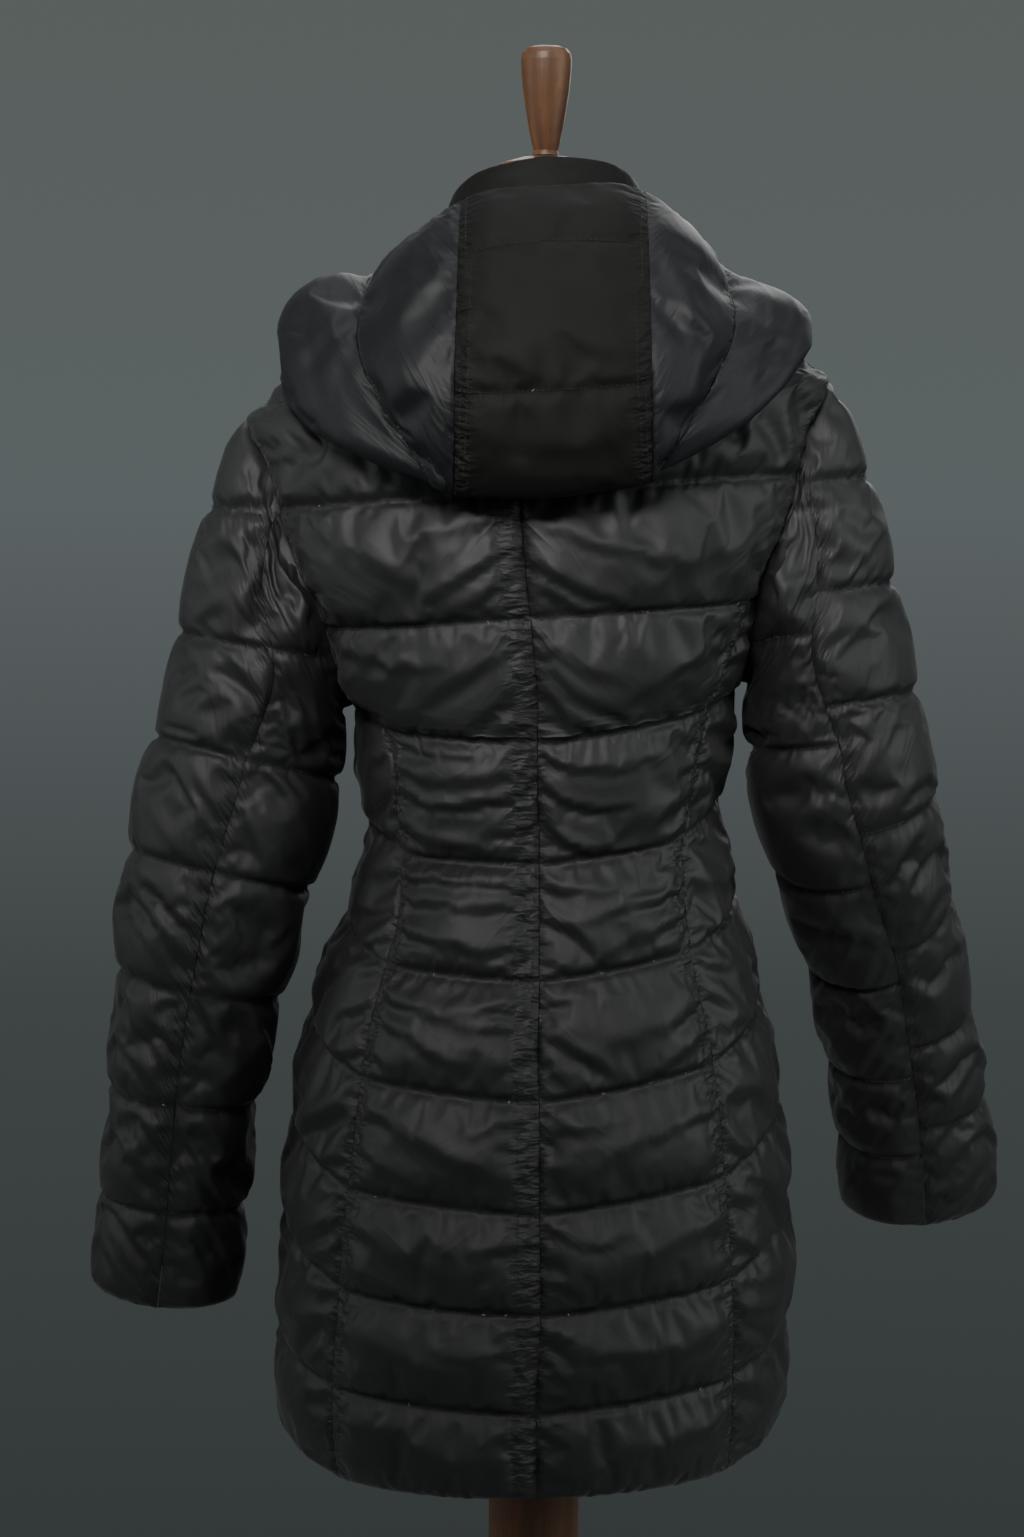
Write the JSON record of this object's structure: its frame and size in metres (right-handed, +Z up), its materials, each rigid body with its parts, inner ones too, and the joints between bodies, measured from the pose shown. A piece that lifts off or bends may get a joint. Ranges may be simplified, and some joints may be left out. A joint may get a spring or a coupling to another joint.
{
  "type": "puffer jacket on dress form stand",
  "caption": "Fitted thigh-length quilted down coat with stand collar and hood laid back, closed by a front zip, worn by a limbless dress form on a turned wooden stand.",
  "frame": {"origin": "centre of the underside of the stand's foot", "axes": "+Z up, the coat's back faces -Y and its zip faces +Y, +X is the wearer's right side seen from behind"},
  "size_m": [0.6471, 0.424, 1.58],
  "materials": {
    "shell_nylon": "satin nylon, quilted",
    "dull_nylon": "matt nylon",
    "satin_nylon": "glossy satin nylon",
    "tape": "woven zip tape and chain",
    "dark_metal": "blackened metal",
    "form_cover": "plain linen",
    "beech_stain": "stained and waxed"
  },
  "bodies": {
    "coat": {"back_left": "shell_nylon", "back_right": "shell_nylon", "side_back_left": "shell_nylon", "side_back_right": "shell_nylon", "front_left": "shell_nylon", "front_right": "shell_nylon", "sleeve_left_outer": "shell_nylon", "sleeve_left_under": "shell_nylon", "sleeve_right_outer": "shell_nylon", "sleeve_right_under": "shell_nylon", "collar": "dull_nylon", "hood_centre": "dull_nylon", "hood_side_left": "satin_nylon", "hood_side_right": "satin_nylon", "hood_edge_left": "satin_nylon", "hood_edge_right": "satin_nylon", "zip_tape": "tape", "zip_slider": "dark_metal", "form_torso": "form_cover", "form_neck_cap": "beech_stain", "form_finial": "beech_stain", "stand_post": "beech_stain", "stand_base": "beech_stain"},
    "zip_pull": {"zip_pull": "dark_metal"}
  },
  "joints": [
    {"name": "pull_lift", "type": "hinge", "parent": "coat", "child": "zip_pull", "pos_m": [0, 0.07362, 1.471], "axis": [1, 0, 0], "range_deg": [0, 150]}
  ]
}
